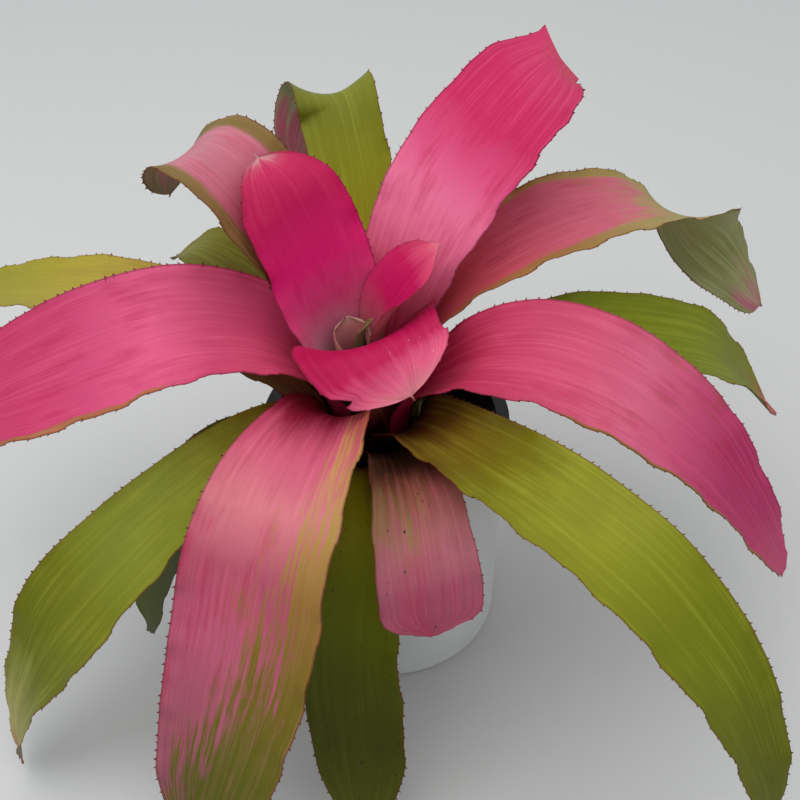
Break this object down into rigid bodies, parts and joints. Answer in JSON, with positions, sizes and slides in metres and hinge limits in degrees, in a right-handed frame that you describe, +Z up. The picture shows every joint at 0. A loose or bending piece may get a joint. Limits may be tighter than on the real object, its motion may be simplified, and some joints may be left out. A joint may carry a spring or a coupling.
{
  "type": "potted bromeliad",
  "caption": "Live-size tank bromeliad: an open rosette of long spiny-edged strap leaves, pink at the heart and olive outside, in a nursery pot inside a plain round container.",
  "frame": {"origin": "centre of the container's flat underside, on the surface the pot stands on", "axes": "+Z up along the container's axis; +X towards the longest right-hand leaves, +Y towards the upright back leaf, so the front of the plant faces -Y"},
  "size_m": [0.5935, 0.4313, 0.3534],
  "materials": {
    "leaf_crimson": "satin leaf skin, deep crimson",
    "leaf_rose": "satin leaf skin, rose with olive margins",
    "leaf_olive": "satin leaf skin, olive green",
    "leaf_green": "satin leaf skin, dark green",
    "stem": "dry fibrous stem",
    "potting_mix": "loose bark mix",
    "black_plastic": "black moulded plastic",
    "frosted_plastic": "white translucent plastic"
  },
  "bodies": {
    "root": {"leaf_01_heart": "leaf_crimson", "leaf_02_inner_right": "leaf_crimson", "leaf_03_lip": "leaf_crimson", "leaf_04_upright_left": "leaf_crimson", "leaf_05_upright_right": "leaf_rose", "leaf_06_left": "leaf_rose", "leaf_07_right": "leaf_rose", "leaf_08_front_left": "leaf_rose", "leaf_09_back_left": "leaf_rose", "leaf_10_back_right": "leaf_rose", "leaf_11_short_front": "leaf_rose", "leaf_12_front_right": "leaf_olive", "leaf_13_back": "leaf_olive", "leaf_14_right": "leaf_olive", "leaf_15_front_left": "leaf_olive", "leaf_16_left": "leaf_olive", "leaf_18_far_left": "leaf_olive", "leaf_17_front": "leaf_green", "leaf_19_low_left": "leaf_green", "crown_base": "stem", "potting_mix": "potting_mix", "nursery_pot": "black_plastic", "outer_pot": "frosted_plastic"}
  },
  "joints": []
}
